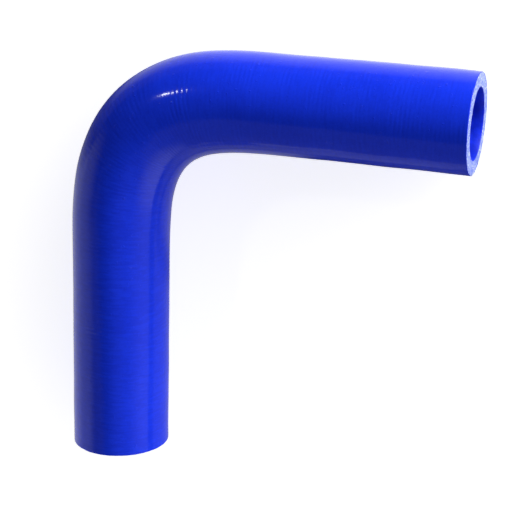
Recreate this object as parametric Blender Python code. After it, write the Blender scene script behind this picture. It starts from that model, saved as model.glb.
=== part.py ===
"""Silicone elbow hose: one moulded tube that turns through a right angle, lying on its side."""

from math import pi, radians

import bmesh
import bpy
import numpy as np
from mathutils import Vector

# Driving dimensions, in metres. A leg is measured from its cut end to where the two legs' axes cross.
BORE_DIAMETER = 0.019
WALL = 0.004
LONG_LEG = 0.102
SHORT_LEG = 0.098
BEND_ANGLE = radians(90)
BEND_LENGTH = 0.081
INNER_BEND_THICKENING = 0.0011
CUT_EDGE_ROUNDING = 0.0003

# How finely the round shapes are divided
SIDES = 48
LEG_STEPS = 2
BEND_STEPS = 32
BEND_SAMPLES = 3200
ROUNDING_STEPS = 2
SMOOTH_BELOW = radians(40)

# The silicone
BLUE = (0.03, 0.09, 0.72, 1.0)
ROUGHNESS = 0.35

BORE_RADIUS = BORE_DIAMETER / 2
OUTER_RADIUS = BORE_RADIUS + WALL


def clear_scene():
    """Empty the scene that the script starts in."""
    for existing in list(bpy.data.objects):
        bpy.data.objects.remove(existing, do_unlink=True)


class CentreLine:
    """The hose's centre line: up +Y from the long leg's cut end, then round to +X and the short leg's.

    The turning starts and ends gently: it grows to its tightest in the middle of the bend.
    """

    def __init__(self):
        share = np.linspace(0, 1, BEND_SAMPLES + 1)
        heading = BEND_ANGLE * (share - np.sin(2 * pi * share) / (2 * pi))
        halfway = (heading[1:] + heading[:-1]) / 2
        step = BEND_LENGTH / BEND_SAMPLES
        bend_x = np.append(0, np.cumsum(np.sin(halfway)) * step)
        bend_y = np.append(0, np.cumsum(np.cos(halfway)) * step)

        bend_to_crossing = bend_x[-1] / np.sin(BEND_ANGLE)
        straight_after = SHORT_LEG - bend_to_crossing
        self.bend_start = LONG_LEG - bend_to_crossing
        self.bend_end = self.bend_start + BEND_LENGTH
        self.length = self.bend_end + straight_after

        end_x = bend_x[-1] + straight_after * np.sin(BEND_ANGLE)
        end_y = bend_y[-1] + straight_after * np.cos(BEND_ANGLE)
        self.distances = np.hstack((0, self.bend_start + share * BEND_LENGTH, self.length))
        self.x = np.hstack((0, bend_x, end_x))
        self.y = self.bend_start + np.hstack((-self.bend_start, bend_y, end_y))
        self.headings = np.hstack((0, heading, BEND_ANGLE))

    def stations(self):
        """The distances at which the tube has a ring of points."""
        long_leg = np.linspace(0, self.bend_start, LEG_STEPS + 1)
        bend = np.linspace(self.bend_start, self.bend_end, BEND_STEPS + 1)
        short_leg = np.linspace(self.bend_end, self.length, LEG_STEPS + 1)
        return np.hstack((long_leg, bend[1:-1], short_leg))

    def place(self, distance):
        """The centre, and the direction from it to the inside of the bend, at a distance from the start."""
        centre = Vector((np.interp(distance, self.distances, self.x),
                         np.interp(distance, self.distances, self.y), 0))
        heading = np.interp(distance, self.distances, self.headings)
        inwards = Vector((np.cos(heading), -np.sin(heading), 0))
        return centre, inwards

    def tightness(self, distance):
        """How tightly the hose turns, from 0 on the legs to 1 in the middle of the bend."""
        share = min(max((distance - self.bend_start) / BEND_LENGTH, 0), 1)
        return (1 - np.cos(2 * pi * share)) / 2


def straight_tube(line):
    """The tube before it is bent, standing on its cut end along +Z: its wall's section, turned once round."""
    tube = bmesh.new()
    stations = line.stations()
    bore_side = [tube.verts.new((BORE_RADIUS, 0, height)) for height in stations]
    outer_side = [tube.verts.new((OUTER_RADIUS, 0, height)) for height in reversed(stations)]
    section = bore_side + outer_side
    for index, corner in enumerate(section):
        tube.edges.new((section[index - 1], corner))
    bmesh.ops.spin(tube, geom=tube.verts[:] + tube.edges[:], cent=(0, 0, 0), axis=(0, 0, 1),
                   steps=SIDES, angle=2 * pi, use_merge=True)
    return tube


def is_cut_edge(edge, length):
    """Whether an edge runs round a rim of one of the two cut faces."""
    heights = [corner.co.z for corner in edge.verts]
    radii = [corner.co.xy.length for corner in edge.verts]
    at_an_end = max(heights) < 1e-6 or min(heights) > length - 1e-6
    return at_an_end and abs(radii[0] - radii[1]) < WALL / 2


def bend_along(tube, line):
    """Lay each ring of the straight tube square across the centre line, and thicken the inside of the bend."""
    for corner in tube.verts:
        toward_inside, upward, distance = corner.co
        radius = corner.co.xy.length
        facing_inside = max(toward_inside / radius, 0) ** 2
        through_wall = (radius - BORE_RADIUS) / WALL
        extra = INNER_BEND_THICKENING * line.tightness(distance) * facing_inside * through_wall
        centre, inwards = line.place(distance)
        corner.co = centre + inwards * (toward_inside + extra) + Vector((0, 0, upward))


def set_down(tube):
    """Move the hose so that it lies on z = 0, with its outline centred on the origin."""
    low = Vector([min(corner.co[axis] for corner in tube.verts) for axis in range(3)])
    high = Vector([max(corner.co[axis] for corner in tube.verts) for axis in range(3)])
    middle = (low + high) / 2
    bmesh.ops.translate(tube, vec=(-middle.x, -middle.y, -low.z), verts=tube.verts)


def blue_silicone():
    """The hose's solid blue silicone rubber."""
    material = bpy.data.materials.new("blue_silicone")
    material.use_nodes = True
    shader = material.node_tree.nodes["Principled BSDF"]
    shader.inputs["Base Color"].default_value = BLUE
    shader.inputs["Roughness"].default_value = ROUGHNESS
    shader.inputs["Metallic"].default_value = 0.0
    return material


def make_hose():
    """Build the whole hose as one closed body."""
    line = CentreLine()
    tube = straight_tube(line)
    rims = [edge for edge in tube.edges if is_cut_edge(edge, line.length)]
    bmesh.ops.bevel(tube, geom=rims, offset=CUT_EDGE_ROUNDING, segments=ROUNDING_STEPS, profile=0.5,
                    affect="EDGES")
    bend_along(tube, line)
    set_down(tube)
    bmesh.ops.recalc_face_normals(tube, faces=tube.faces)

    mesh = bpy.data.meshes.new("elbow_hose")
    tube.to_mesh(mesh)
    tube.free()
    mesh.shade_smooth()
    mesh.set_sharp_from_angle(angle=SMOOTH_BELOW)
    mesh.materials.append(blue_silicone())
    hose = bpy.data.objects.new("elbow_hose", mesh)
    bpy.context.scene.collection.objects.link(hose)
    return hose


clear_scene()
make_hose()
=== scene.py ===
"""The look of the silicone elbow hose: one moulded blue hose lying on its side on a white floor."""

from math import cos, pi, radians, sin

import bmesh
import bpy
import numpy as np
from mathutils import Matrix, Vector, noise


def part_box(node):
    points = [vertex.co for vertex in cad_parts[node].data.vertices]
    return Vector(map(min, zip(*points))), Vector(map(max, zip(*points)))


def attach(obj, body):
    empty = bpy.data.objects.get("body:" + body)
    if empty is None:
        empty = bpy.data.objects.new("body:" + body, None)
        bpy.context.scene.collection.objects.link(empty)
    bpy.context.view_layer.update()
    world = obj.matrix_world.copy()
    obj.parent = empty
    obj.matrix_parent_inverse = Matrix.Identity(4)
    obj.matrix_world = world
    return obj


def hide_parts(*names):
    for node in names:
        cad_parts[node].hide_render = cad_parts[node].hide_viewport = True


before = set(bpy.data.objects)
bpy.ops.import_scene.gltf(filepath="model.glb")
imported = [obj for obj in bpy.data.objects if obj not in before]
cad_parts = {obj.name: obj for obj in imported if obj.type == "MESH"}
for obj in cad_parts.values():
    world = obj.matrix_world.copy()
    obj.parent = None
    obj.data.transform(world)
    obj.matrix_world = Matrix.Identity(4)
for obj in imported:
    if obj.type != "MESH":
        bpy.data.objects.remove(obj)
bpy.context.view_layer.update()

HOSE_LOW, HOSE_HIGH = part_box("elbow_hose")

# The hose's sizes, in metres: from its solid where that shows them, and otherwise as it was designed
OUTER_RADIUS = (HOSE_HIGH.z - HOSE_LOW.z) / 2
LONG_LEG = HOSE_HIGH.y - HOSE_LOW.y - OUTER_RADIUS
SHORT_LEG = HOSE_HIGH.x - HOSE_LOW.x - OUTER_RADIUS
WALL = 0.004
BORE_RADIUS = OUTER_RADIUS - WALL
BEND_ANGLE = radians(90)
BEND_LENGTH = 0.081
INNER_BEND_THICKENING = 0.0011
LONG_LEG_END = Vector((HOSE_LOW.x + OUTER_RADIUS, HOSE_LOW.y, HOSE_LOW.z + OUTER_RADIUS))

# The wrapping tape's ridges. They wander by a share of their pitch, and are pressed flatter in places.
WRAP_PITCH = 0.00115
WRAP_HEIGHT = 0.000018
WRAP_WANDER = 0.35
WRAP_WANDER_PATCH = 0.030
PRESSED_PATCH = 0.006
PRESSED_MIDDLE = 0.45
PRESSED_SPREAD = 1.1

# The swells that hand wrapping leaves: in patches, in bands round the hose, and as small dimples
UNEVEN_HEIGHT = 0.00012
UNEVEN_PATCH = 0.016
BAND_HEIGHT = 0.00004
BAND_WIDTH = 0.007
DIMPLE_HEIGHT = 0.000010
DIMPLE_SIZE = 0.0026

# The cut ends are rough, and each slopes a little: by so much toward the inside of the bend and upward.
# The wall follows the slope for a short way. The short leg's end also leans to the inside of the bend.
CUT_EDGE_ROUNDING = 0.00012
CUT_GRAIN_HEIGHT = 0.00006
CUT_GRAIN_SIZE = 0.0005
CUT_GRAIN_STRETCH = (1, 1, 0.2)
LONG_LEG_CUT_SLANT = (0.023, -0.016)
SHORT_LEG_CUT_SLANT = (-0.015, 0.018)
CUT_SLANT_LENGTH = 0.02
END_LEAN = 0.0002
END_LEAN_LENGTH = 0.016
END_LEAN_CURVE = 1.5

# How finely the mesh is divided, and how close together two points count as one
SIDES = 96
RINGS_PER_WRAP = 4
BORE_RINGS = 90
CUT_FACE_RINGS = 9
BEND_SAMPLES = 3200
SMOOTH_BELOW = radians(50)
TINY = 1e-6

# Each face's material, by number
SKIN, BORE, CUT = range(3)

# The skin's faint marks: how large each kind is, and how strongly it changes the shade.
# The lines round the hose are stronger on the long leg, and fade between two places along the bend.
SKIN_MOTTLE_SIZE = 0.012
SKIN_MOTTLE_SHARE = 0.3
SKIN_LINE_LENGTH = 0.0035
SKIN_LINE_WIDTH = 0.0006
SKIN_LINE_SHARE = 0.36
LONG_LEG_LINE_EXTRA = 0.36
LONG_LEG_LINES_START = 0.105
LONG_LEG_LINES_FULL = 0.075
SKIN_SPECKLE_SIZE = 0.0006
SKIN_SPECKLE_SHARE = 0.25
SKIN_SHADE_RANGE = 0.14
NIB_SIZE = 0.0009
SKIN_GLOSS_PATCH = 0.02
SKIN_RELIEF = 0.00004

# The bore's soft patches and fine grain
BORE_MOTTLE_SIZE = 0.004
BORE_GRAIN_SIZE = 0.0008
BORE_RELIEF = 0.00002

# The cut ends' patches, cut threads, specks, and the fabric plies that the threads lie in
CUT_MOTTLE_SIZE = 0.0010
THREAD_SIZE = 0.00065
SPECK_SIZE = 0.0008
PLY_LENGTH = 0.004
PLY_THICKNESS = 0.0007
THREAD_RELIEF = 0.00008

SILICONE_IOR = 1.41

# Colours, in linear light
BRIGHT_BLUE = (0.010, 0.045, 0.93)
DEEP_BLUE = (0.008, 0.036, 0.82)
# The bore's two blues mix in soft patches; together they make the bore darker than the skin, as painted
# shade inside the hose
BORE_BLUE = (0.008, 0.042, 0.91)
BORE_SHADE = (0.005, 0.022, 0.56)
CUT_BLUE = (0.18, 0.24, 0.76)
CUT_PALE = (0.34, 0.42, 0.87)
FIBRE_WHITE = (0.80, 0.86, 0.95)
CUT_SHADE = (0.08, 0.12, 0.50)
FLOOR_WHITE = (0.91, 0.91, 0.91)

# The photograph's camera, in this frame
CAMERA_PLACE = Vector((0.14416, 0.15593, 0.47533))
CAMERA_AIM = Vector((-0.00243, 0.00117, 0.0135))
CAMERA_ROLL = radians(1.31)
CAMERA_LENS = 130.72

# Each soft light's azimuth and elevation in degrees, its distance, width and height in metres,
# and its watts
SOFT_LIGHTS = {
    "key": (47, 3.2, 0.9, 0.96, 0.10, 6.4),
    "key_above": (42, 14, 0.9, 0.90, 0.25, 3.2),
    "near_panel": (245, 30, 0.9, 1.40, 0.92, 0.60),
    "foot": (231.6, 4.5, 0.24, 0.12, 0.05, 0.13),
    "glint": (138.2, 39.5, 0.9, 0.012, 0.055, 0.34),
}

# Where the walls round the floor glow softly: azimuth and elevation in degrees, how many degrees
# it spreads, and strength
WALL_GLOWS = {
    "left": (203, 6, 36, 0.78),
    "near": (304, 3, 42, 1.16),
    "right": (40, 3, 62, 1.50),
    "right_near": (345, 3, 51, 0.36),
    "upper_right_near": (330, 45, 51, 0.14),
}
CEILING_GLOW = 0.02

# The floor's size, how much it glows for the camera, and what share of its own colour reflections show
# (painted shade that dims the floor in the hose's gloss)
FLOOR_SIZE = 6.0
FAR = FLOOR_SIZE / 2
FLOOR_GLOW = 0.76
REFLECTED_SHADE = 0.3

# How the floor glows in reflections, as painted reflections of a lit floor: its strength, and then
# along x and along y where it starts, where it is full, where it starts to fade and where it is gone
REFLECTED_GLOWS = {
    "beyond_short_leg": (1.05, (-0.10, 0.0, FAR, FAR + 1), (0.045, 0.058, 0.060, 0.13)),
    "left_of_long_leg": (0.60, (-FAR - 1, -FAR, -0.08, -0.04), (-FAR - 1, -FAR, 0.0, 0.04)),
    "right_of_long_leg": (0.27, (-0.05, -0.03, 0.032, 0.050), (-FAR - 1, -FAR, -0.02, -0.002)),
    "inside_bend": (0.34, (-0.04, -0.025, -0.005, 0.01), (-0.012, 0.002, 0.02, 0.03)),
}


class Wire:
    """One output in a material's node tree. Arithmetic on it adds the Math nodes."""

    def __init__(self, finish, socket):
        self.finish = finish
        self.socket = socket

    def maths(self, operation, *values):
        """One Math node, with the values as its inputs in order."""
        return self.finish.node("Math", {"operation": operation}, dict(enumerate(values)))

    def __add__(self, other):
        return self.maths("ADD", self, other)

    def __sub__(self, other):
        return self.maths("SUBTRACT", self, other)

    def __rsub__(self, other):
        return self.maths("SUBTRACT", other, self)

    def __mul__(self, other):
        return self.maths("MULTIPLY", self, other)

    def __truediv__(self, other):
        return self.maths("DIVIDE", self, other)

    def __rtruediv__(self, other):
        return self.maths("DIVIDE", other, self)

    __radd__ = __add__
    __rmul__ = __mul__


class Finish:
    """A material's or the world's node tree, built up node by node."""

    # The Mix node's colour sockets, by number, because it has other sockets with the same names
    FIRST_COLOUR, SECOND_COLOUR, MIXED_COLOUR = 6, 7, 2

    def __init__(self, tree):
        self.tree = tree
        self.tree.nodes.clear()

    def node(self, kind, settings=None, inputs=None, output=0):
        """Add a node, first its settings and then its sockets' values or links, and give one output."""
        made = self.tree.nodes.new("ShaderNode" + kind)
        for name, value in (settings or {}).items():
            setattr(made, name, value)
        for name, value in (inputs or {}).items():
            if isinstance(value, Wire):
                self.tree.links.new(value.socket, made.inputs[name])
            else:
                made.inputs[name].default_value = value
        return Wire(self, made.outputs[output]) if made.outputs else None

    def place(self):
        """Object coordinates, in metres."""
        return self.node("TexCoord", output="Object")

    def attribute(self, name):
        """A number that the mesh carries at each of its points."""
        return self.node("Attribute", {"attribute_name": name}, output="Fac")

    def light_path(self, question):
        """1 for rays that the question's answer is yes for, and 0 for others."""
        return self.node("LightPath", output=question)

    def scaled(self, vector, factor):
        """A vector times a number."""
        return self.node("VectorMath", {"operation": "SCALE"}, {0: vector, "Scale": factor}, "Vector")

    def grain(self, place, size, detail=2.0, roughness=0.5):
        """Soft noise from 0 to 1, with patches of about the given size."""
        return self.node("TexNoise", {"noise_dimensions": "3D"},
                         {"Vector": place, "Scale": 1 / size, "Detail": detail, "Roughness": roughness})

    def streaks(self, place, length, across, width):
        """Noise drawn out over the surface, and quick to change only with the number `across`."""
        return self.node("TexNoise", {"noise_dimensions": "4D"},
                         {"Vector": self.scaled(place, 1 / length), "W": across / width,
                          "Scale": 1.0, "Detail": 2.0})

    def between(self, value, low, high):
        """How far a value is between two others, from 0 to 1 with soft ends."""
        return self.node("MapRange", {"interpolation_type": "SMOOTHSTEP"},
                         {"Value": value, "From Min": low, "From Max": high})

    def within(self, value, start, full, fading, gone):
        """1 between `full` and `fading`, and down to 0 at `start` and at `gone`, with soft ends."""
        return self.between(value, start, full) * self.between(value, gone, fading)

    def blended(self, amount, first, second):
        """Two colours mixed."""
        if not isinstance(first, Wire):
            first = (*first, 1.0)
        if not isinstance(second, Wire):
            second = (*second, 1.0)
        inputs = {"Factor": amount, self.FIRST_COLOUR: first, self.SECOND_COLOUR: second}
        return self.node("Mix", {"data_type": "RGBA"}, inputs, self.MIXED_COLOUR)

    def bump(self, height, distance):
        """Fine relief of the given height, in metres."""
        return self.node("Bump", inputs={"Height": height, "Distance": distance, "Strength": 1.0},
                         output="Normal")

    def silicone(self, **inputs):
        """Finish the material with a silicone rubber surface."""
        shader = self.node("BsdfPrincipled", inputs={"IOR": SILICONE_IOR, **inputs})
        self.node("OutputMaterial", inputs={"Surface": shader})


def new_material(name):
    """An empty material."""
    material = bpy.data.materials.new(name)
    material.use_nodes = True
    return material, Finish(material.node_tree)


def skin_material():
    """The outside: deep blue and glossy, with faint lines from the wrapping tape, and small nibs."""
    material, finish = new_material("blue_silicone_skin")
    place = finish.place()
    along = finish.attribute("along")
    mottle = finish.grain(place, SKIN_MOTTLE_SIZE, detail=3.0)
    lines = finish.streaks(place, SKIN_LINE_LENGTH, along, SKIN_LINE_WIDTH)
    speckle = finish.grain(place, SKIN_SPECKLE_SIZE, detail=1.0)
    on_long_leg = finish.between(along, LONG_LEG_LINES_START, LONG_LEG_LINES_FULL)
    line_share = SKIN_LINE_SHARE + LONG_LEG_LINE_EXTRA * on_long_leg
    shade = (mottle - 0.5) * SKIN_MOTTLE_SHARE
    shade = shade + (lines - 0.5) * line_share
    shade = shade + (speckle - 0.5) * SKIN_SPECKLE_SHARE
    shade = finish.between(shade, -SKIN_SHADE_RANGE, SKIN_SHADE_RANGE)
    colour = finish.blended(shade, DEEP_BLUE, BRIGHT_BLUE)
    nibs = 0.8 * finish.between(finish.grain(place, NIB_SIZE, detail=0.0), 0.76, 0.84)
    roughness = 0.10 + 0.05 * finish.grain(place, SKIN_GLOSS_PATCH)
    relief = finish.bump(nibs + lines * line_share + 0.2 * speckle, SKIN_RELIEF)
    finish.silicone(**{"Base Color": colour, "Roughness": roughness, "Normal": relief})
    return material


def bore_material():
    """The inside: a softly mottled blue, darker overall than the outside as painted shade inside the
    hose, and less glossy.
    """
    material, finish = new_material("blue_silicone_bore")
    place = finish.place()
    mottle = finish.grain(place, BORE_MOTTLE_SIZE, detail=3.0)
    colour = finish.blended(finish.between(mottle, 0.35, 0.65), BORE_SHADE, BORE_BLUE)
    relief = finish.bump(finish.grain(place, BORE_GRAIN_SIZE), BORE_RELIEF)
    finish.silicone(**{"Base Color": colour, "Roughness": 0.30 + 0.10 * mottle, "Normal": relief})
    return material


def cut_material():
    """The knife-cut ends: pale, with white cut threads from the fabric plies, and dark specks."""
    material, finish = new_material("cut_silicone")
    place = finish.place()
    through = finish.attribute("through")
    mottle = finish.grain(place, CUT_MOTTLE_SIZE, detail=3.0)
    threads = finish.grain(place, THREAD_SIZE, detail=1.0)
    specks = finish.grain(place, SPECK_SIZE, detail=1.0, roughness=0.7)
    rim = finish.between(through, 0.55, 0.95)
    ply = finish.streaks(place, PLY_LENGTH, through * WALL, PLY_THICKNESS)
    fibres = finish.between(threads + 0.4 * ply, 0.78, 0.90)
    shade = finish.between(specks + 0.2 * mottle - 0.08 * rim, 0.50, 0.38)
    colour = finish.blended(finish.between(mottle, 0.41, 0.59), CUT_BLUE, CUT_PALE)
    colour = finish.blended(fibres, colour, FIBRE_WHITE)
    colour = finish.blended(shade * 0.75, colour, CUT_SHADE)
    relief = finish.bump(threads, THREAD_RELIEF)
    finish.silicone(**{"Base Color": colour, "Roughness": 0.6 + 0.2 * mottle, "Normal": relief})
    return material


class CentreLine:
    """The hose's centre line: up +Y from the long leg's cut end, then round to +X and the short leg's.

    The turning starts and ends gently: it grows to its tightest in the middle of the bend.
    """

    def __init__(self):
        share = np.linspace(0, 1, BEND_SAMPLES + 1)
        heading = BEND_ANGLE * (share - np.sin(2 * pi * share) / (2 * pi))
        halfway = (heading[1:] + heading[:-1]) / 2
        step = BEND_LENGTH / BEND_SAMPLES
        bend_x = np.append(0, np.cumsum(np.sin(halfway)) * step)
        bend_y = np.append(0, np.cumsum(np.cos(halfway)) * step)

        bend_to_crossing = bend_x[-1] / np.sin(BEND_ANGLE)
        straight_after = SHORT_LEG - bend_to_crossing
        self.bend_start = LONG_LEG - bend_to_crossing
        self.length = self.bend_start + BEND_LENGTH + straight_after

        end_x = bend_x[-1] + straight_after * np.sin(BEND_ANGLE)
        end_y = bend_y[-1] + straight_after * np.cos(BEND_ANGLE)
        self.distances = np.hstack((0, self.bend_start + share * BEND_LENGTH, self.length))
        self.x = LONG_LEG_END.x + np.hstack((0, bend_x, end_x))
        self.y = LONG_LEG_END.y + self.bend_start + np.hstack((-self.bend_start, bend_y, end_y))
        self.headings = np.hstack((0, heading, BEND_ANGLE))

    def lay(self, inside, upward, distance):
        """Place points that lie so far to the inside of the bend, upward, and along the centre line."""
        heading = np.interp(distance, self.distances, self.headings)
        past_end = distance - np.clip(distance, 0, self.length)
        centre_x = np.interp(distance, self.distances, self.x)
        centre_y = np.interp(distance, self.distances, self.y)
        x = centre_x + inside * np.cos(heading) + past_end * np.sin(heading)
        y = centre_y - inside * np.sin(heading) + past_end * np.cos(heading)
        return np.stack((x, y, LONG_LEG_END.z + upward), axis=1)

    def tightness(self, distance):
        """How tightly the hose turns, from 0 on the legs to 1 in the middle of the bend."""
        share = np.clip((distance - self.bend_start) / BEND_LENGTH, 0, 1)
        return (1 - np.cos(2 * pi * share)) / 2


def straight_tube(length):
    """The tube before it is bent, standing along +Z: its wall's section, turned once round."""
    tube = bmesh.new()
    outer_heights = np.linspace(0, length, round(length / WRAP_PITCH * RINGS_PER_WRAP) + 1)
    bore_heights = np.linspace(length, 0, BORE_RINGS + 1)
    cut_radii = np.linspace(OUTER_RADIUS, BORE_RADIUS, CUT_FACE_RINGS + 1)[1:-1]
    section = [(OUTER_RADIUS, height) for height in outer_heights]
    section += [(radius, length) for radius in cut_radii]
    section += [(BORE_RADIUS, height) for height in bore_heights]
    section += [(radius, 0) for radius in reversed(cut_radii)]
    corners = [tube.verts.new((radius, 0, height)) for radius, height in section]
    for index, corner in enumerate(corners):
        tube.edges.new((corners[index - 1], corner))
    bmesh.ops.spin(tube, geom=tube.verts[:] + tube.edges[:], cent=(0, 0, 0), axis=(0, 0, 1),
                   steps=SIDES, angle=2 * pi, use_merge=True)
    bmesh.ops.remove_doubles(tube, verts=tube.verts, dist=TINY)
    return tube


def round_cut_edges(tube, length):
    """Take the sharp edge off both rims of both cut faces."""
    rims = []
    for edge in tube.edges:
        heights = [corner.co.z for corner in edge.verts]
        radii = [corner.co.xy.length for corner in edge.verts]
        at_an_end = max(heights) < TINY or min(heights) > length - TINY
        at_a_rim = max(radii) < BORE_RADIUS + TINY or min(radii) > OUTER_RADIUS - TINY
        if at_an_end and at_a_rim:
            rims.append(edge)
    bmesh.ops.bevel(tube, geom=rims, offset=CUT_EDGE_ROUNDING, segments=2, profile=0.5, affect="EDGES")


def assign_materials(tube, length):
    """Give each face the number of its material, and soft shading."""
    middle_radius = (BORE_RADIUS + OUTER_RADIUS) / 2
    for face in tube.faces:
        centre = face.calc_center_median()
        if min(centre.z, length - centre.z) < TINY:
            face.material_index = CUT
        elif centre.xy.length > middle_radius:
            face.material_index = SKIN
        else:
            face.material_index = BORE
        face.smooth = True


def soft_noise(points, size, seed):
    """Smooth noise from about -1 to 1 at each point, with patches of about the given size."""
    shift = Vector((seed, seed * 0.7, seed * 1.3))
    return np.array([noise.noise(Vector(point) / size + shift) for point in points])


def wrap_ridges(points, distance):
    """The height of the tape's ridges: they wander a little, and are pressed flatter in places."""
    wander = WRAP_WANDER * 2 * pi * soft_noise(points, WRAP_WANDER_PATCH, seed=4.0)
    firmness = PRESSED_MIDDLE + PRESSED_SPREAD * soft_noise(points, PRESSED_PATCH, seed=9.0)
    height = WRAP_HEIGHT * np.clip(firmness, 0, 1)
    return height * np.sin(2 * pi * distance / WRAP_PITCH + wander)


def unevenness(points, distance):
    """The height of the swells: in patches, in bands round the hose, and as small dimples."""
    patches = UNEVEN_HEIGHT * soft_noise(points, UNEVEN_PATCH, seed=21.0)
    dimples = DIMPLE_HEIGHT * soft_noise(points, DIMPLE_SIZE, seed=55.0)
    bands = BAND_HEIGHT * soft_noise(np.outer(distance, (1, 0, 0)), BAND_WIDTH, seed=33.0)
    return patches + bands + dimples


def shaped(points, line):
    """The straight tube's points, bent along the centre line and given the marks of making."""
    inside, upward, distance = points.T
    radius = np.hypot(inside, upward)
    through = np.clip((radius - BORE_RADIUS) / WALL, 0, 1)
    facing_inside = np.clip(inside / radius, 0, 1) ** 2
    from_cut = np.minimum(distance, line.length - distance)

    thickening = INNER_BEND_THICKENING * line.tightness(distance) * facing_inside * through
    bent = line.lay(inside + thickening, upward, distance)
    swell = unevenness(bent, distance) * through
    on_skin = through > 0.99
    ridges = wrap_ridges(bent, distance) * on_skin * np.clip(from_cut / WRAP_PITCH, 0, 1)
    grow = 1 + (swell + ridges) / radius

    at_cut = from_cut < CUT_EDGE_ROUNDING / 2
    grain = CUT_GRAIN_HEIGHT * soft_noise(points * CUT_GRAIN_STRETCH, CUT_GRAIN_SIZE, seed=3.0) * at_cut
    on_short_leg = distance > line.length / 2
    slant_inside = np.where(on_short_leg, SHORT_LEG_CUT_SLANT[0], LONG_LEG_CUT_SLANT[0])
    slant_upward = np.where(on_short_leg, SHORT_LEG_CUT_SLANT[1], LONG_LEG_CUT_SLANT[1])
    slant_share = np.clip(1 - from_cut / CUT_SLANT_LENGTH, 0, 1)
    slant = (inside * slant_inside + upward * slant_upward) * slant_share
    lean_share = np.clip(1 - (line.length - distance) / END_LEAN_LENGTH, 0, 1)
    lean = END_LEAN * lean_share ** END_LEAN_CURVE

    placed = line.lay((inside + thickening) * grow + lean, upward * grow, distance + slant + grain)
    placed[:, 2] = np.maximum(placed[:, 2], HOSE_LOW.z)
    return placed, distance, through


def add_number(mesh, name, values):
    """Let the mesh carry a number at each point, for its materials."""
    attribute = mesh.attributes.new(name, "FLOAT", "POINT")
    attribute.data.foreach_set("value", values.astype(np.float32))


def make_hose():
    """The whole hose as one closed mesh, in place of its plain solid."""
    line = CentreLine()
    tube = straight_tube(line.length)
    round_cut_edges(tube, line.length)
    assign_materials(tube, line.length)
    bmesh.ops.recalc_face_normals(tube, faces=tube.faces)
    mesh = bpy.data.meshes.new("moulded_elbow_hose")
    tube.to_mesh(mesh)
    tube.free()

    points = np.empty(len(mesh.vertices) * 3)
    mesh.vertices.foreach_get("co", points)
    placed, distance, through = shaped(points.reshape(-1, 3), line)
    mesh.vertices.foreach_set("co", placed.ravel())
    add_number(mesh, "along", distance)
    add_number(mesh, "through", through)
    mesh.update()
    for material in (skin_material(), bore_material(), cut_material()):
        mesh.materials.append(material)
    mesh.set_sharp_from_angle(angle=SMOOTH_BELOW)

    hose = bpy.data.objects.new("moulded_elbow_hose", mesh)
    bpy.context.scene.collection.objects.link(hose)
    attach(hose, "root")
    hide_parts("elbow_hose")


def floor_material():
    """White paper. It glows for the camera, so that it looks white.

    Reflections show it dimmer, with a few soft glows on it, so that the hose's gloss looks right: the
    dimming is painted shade and the glows are painted reflections of a lit floor.
    """
    material, finish = new_material("white_paper")
    camera = finish.light_path("Is Camera Ray")
    reflected = finish.light_path("Is Glossy Ray") + finish.light_path("Is Transmission Ray")
    place = finish.place()
    x = finish.node("SeparateXYZ", inputs={0: place}, output="X")
    y = finish.node("SeparateXYZ", inputs={0: place}, output="Y")
    strength = FLOOR_GLOW * camera
    # Painted reflections: glowing patches on the floor that only the hose's gloss shows
    for glow, along_x, along_y in REFLECTED_GLOWS.values():
        patch = finish.within(x, *along_x) * finish.within(y, *along_y)
        strength = strength + glow * patch * reflected
    shaded = [REFLECTED_SHADE * part for part in FLOOR_WHITE]
    colour = finish.blended(reflected, FLOOR_WHITE, shaded)
    paper = finish.node("BsdfDiffuse", inputs={"Color": colour})
    light = finish.node("Emission", inputs={"Strength": strength})
    both = finish.node("AddShader", inputs={0: paper, 1: light})
    finish.node("OutputMaterial", inputs={"Surface": both})
    return material


def make_floor():
    """A wide white floor under the hose."""
    sheet = bmesh.new()
    bmesh.ops.create_grid(sheet, x_segments=1, y_segments=1, size=FAR)
    mesh = bpy.data.meshes.new("floor")
    sheet.to_mesh(mesh)
    sheet.free()
    mesh.materials.append(floor_material())
    floor = bpy.data.objects.new("floor", mesh)
    bpy.context.scene.collection.objects.link(floor)


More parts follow.
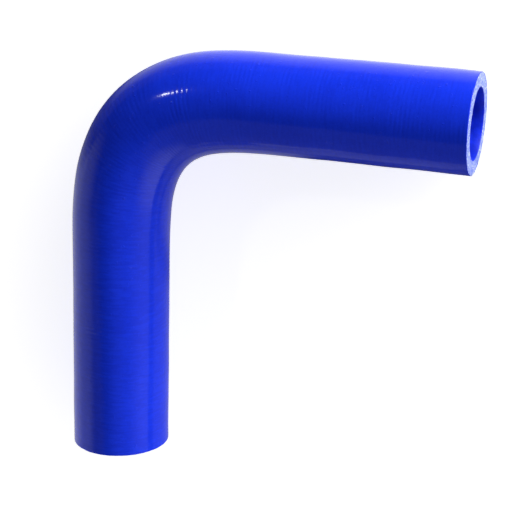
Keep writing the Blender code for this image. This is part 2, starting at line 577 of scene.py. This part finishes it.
def turned_toward(place, aim, up):
    """The turn that points something's -Z from a place at an aim, with its +Y near `up`."""
    back = (place - aim).normalized()
    right = up.cross(back).normalized()
    return Matrix((right, back.cross(right), back)).transposed().to_4x4()


def make_camera():
    """The photograph's camera."""
    camera = bpy.data.objects.new("camera", bpy.data.cameras.new("camera"))
    camera.data.lens = CAMERA_LENS
    turn = turned_toward(CAMERA_PLACE, CAMERA_AIM, Vector((0, 1, 0)))
    camera.matrix_world = Matrix.Translation(CAMERA_PLACE) @ turn @ Matrix.Rotation(CAMERA_ROLL, 4, "Z")
    bpy.context.scene.collection.objects.link(camera)
    bpy.context.scene.camera = camera


def pointing(azimuth, elevation):
    """The direction of an azimuth and an elevation, both in degrees."""
    turn, rise = radians(azimuth), radians(elevation)
    return Vector((cos(rise) * cos(turn), cos(rise) * sin(turn), sin(rise)))


def make_lights():
    """Soft lights round the hose."""
    for name, (azimuth, elevation, distance, width, height, power) in SOFT_LIGHTS.items():
        light = bpy.data.objects.new(name, bpy.data.lights.new(name, "AREA"))
        light.data.shape = "RECTANGLE"
        light.data.size = width
        light.data.size_y = height
        light.data.energy = power
        place = pointing(azimuth, elevation) * distance
        turn = turned_toward(place, Vector((0, 0, 0)), Vector((0, 0, 1)))
        light.matrix_world = Matrix.Translation(place) @ turn
        bpy.context.scene.collection.objects.link(light)


def make_world():
    """A dim room whose walls glow softly in a few places."""
    world = bpy.data.worlds.new("studio")
    world.use_nodes = True
    bpy.context.scene.world = world
    finish = Finish(world.node_tree)
    direction = finish.node("TexCoord", output="Generated")
    glow = CEILING_GLOW
    for azimuth, elevation, spread, strength in WALL_GLOWS.values():
        facing = finish.node("VectorMath", {"operation": "DOT_PRODUCT"},
                             {0: direction, 1: pointing(azimuth, elevation)}, "Value")
        glow = glow + strength * finish.between(facing, cos(radians(spread)), 1.0)
    background = finish.node("Background", inputs={"Strength": glow})
    finish.node("OutputWorld", inputs={"Surface": background})


make_hose()
make_floor()
make_camera()
make_lights()
make_world()
bpy.context.scene.view_settings.view_transform = "Standard"
